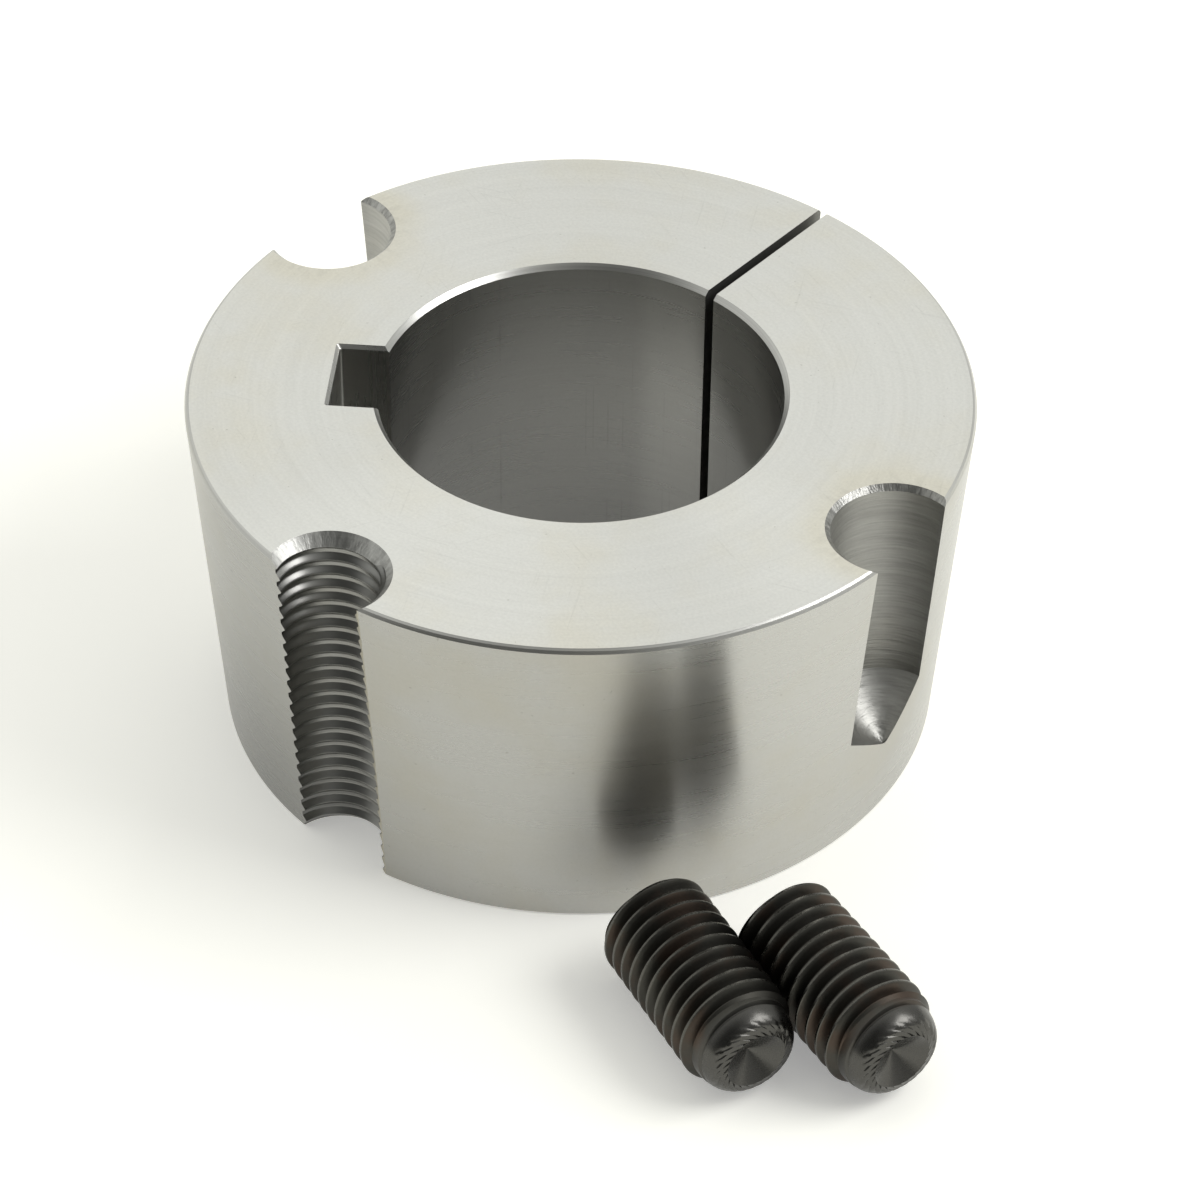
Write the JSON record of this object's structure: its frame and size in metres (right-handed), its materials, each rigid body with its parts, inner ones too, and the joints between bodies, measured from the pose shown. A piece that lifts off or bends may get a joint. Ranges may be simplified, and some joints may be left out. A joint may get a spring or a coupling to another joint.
{
  "type": "taper bush",
  "caption": "Split steel ring with a tapered outside, a keyed bore and half-holes round its rim, which two set screws draw into a hub so that it grips a shaft.",
  "frame": {"origin": "centre of the bore at the bush's small end, on the surface that the bush stands on", "axes": "+Z along the bore towards the large end; +Y from the bore to the split in the wall"},
  "size_m": [0.1417, 0.1098, 0.0508],
  "materials": {
    "turned_steel": "turned",
    "black_steel": "black oxide"
  },
  "bodies": {
    "root": {"bush": "turned_steel", "set_screw_left": "black_steel", "set_screw_right": "black_steel"}
  },
  "joints": []
}
